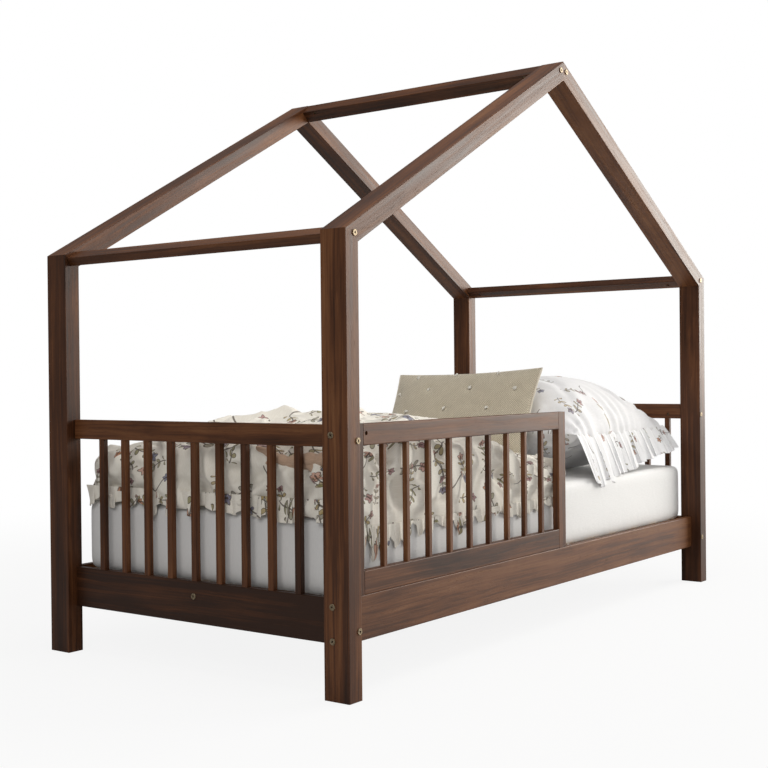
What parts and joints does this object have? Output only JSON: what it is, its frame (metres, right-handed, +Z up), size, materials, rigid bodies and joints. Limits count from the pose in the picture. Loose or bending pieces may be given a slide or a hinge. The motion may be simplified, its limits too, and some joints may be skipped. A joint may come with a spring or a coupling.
{
  "type": "house frame bed",
  "caption": "Low single bed under an open house-shaped timber frame, with slatted end panels, a part-length guard rail, slatted base and made-up bedding.",
  "frame": {"origin": "on the floor, at the middle of the bed's length and width", "axes": "+X to the head end, +Y to the far long side (the guard is on the -Y side), +Z up"},
  "size_m": [2.1148, 1.0598, 1.68],
  "materials": {
    "dark_wood": "dark brown stained timber, satin clear coat",
    "base_wood": "plain sanded softwood",
    "beech": "plain turned hardwood pegs",
    "bolt_steel": "aged bronze plated steel",
    "zinc_steel": "bright zinc plated steel",
    "sheet_cotton": "white fitted cotton sheet over a foam mattress",
    "duvet_cotton": "cream cotton with a small printed sprig",
    "pillow_cotton": "white cotton with a sparse printed sprig and a gathered ruffle",
    "cushion_weave": "beige woven cloth with small white tufts and cream piping"
  },
  "bodies": {
    "frame": {"barrel_nuts": "zinc_steel", "bed_slats": "base_wood", "centre_beam": "base_wood", "connector_bolts": "bolt_steel", "eaves_beam_foot": "dark_wood", "eaves_beam_head": "dark_wood", "foot_low_rail": "dark_wood", "foot_slat_1": "dark_wood", "foot_slat_2": "dark_wood", "foot_slat_3": "dark_wood", "foot_slat_4": "dark_wood", "foot_slat_5": "dark_wood", "foot_slat_6": "dark_wood", "foot_slat_7": "dark_wood", "foot_slat_8": "dark_wood", "foot_slat_9": "dark_wood", "foot_top_rail": "dark_wood", "guard_low_rail": "dark_wood", "guard_slat_1": "dark_wood", "guard_slat_2": "dark_wood", "guard_slat_3": "dark_wood", "guard_slat_4": "dark_wood", "guard_slat_5": "dark_wood", "guard_slat_6": "dark_wood", "guard_slat_7": "dark_wood", "guard_slat_8": "dark_wood", "guard_slat_9": "dark_wood", "guard_stile_foot": "dark_wood", "guard_stile_head": "dark_wood", "guard_top_rail": "dark_wood", "head_low_rail": "dark_wood", "head_slats": "dark_wood", "head_top_rail": "dark_wood", "post_foot_far": "dark_wood", "post_foot_near": "dark_wood", "post_head_far": "dark_wood", "post_head_near": "dark_wood", "rafter_foot_far": "dark_wood", "rafter_foot_near": "dark_wood", "rafter_head_far": "dark_wood", "rafter_head_near": "dark_wood", "ridge_beam": "dark_wood", "side_rail_far": "dark_wood", "side_rail_near": "dark_wood", "slat_ledger_far": "base_wood", "slat_ledger_near": "base_wood", "wood_dowels": "beech", "wood_screws": "zinc_steel"},
    "bedding": {"mattress": "sheet_cotton", "duvet": "duvet_cotton", "pillow": "pillow_cotton", "cushion": "cushion_weave"}
  },
  "joints": [
    {"name": "bedding_lift", "type": "slide", "parent": "frame", "child": "bedding", "axis": [0, 0, 1], "range_m": [0, 0.42]}
  ]
}
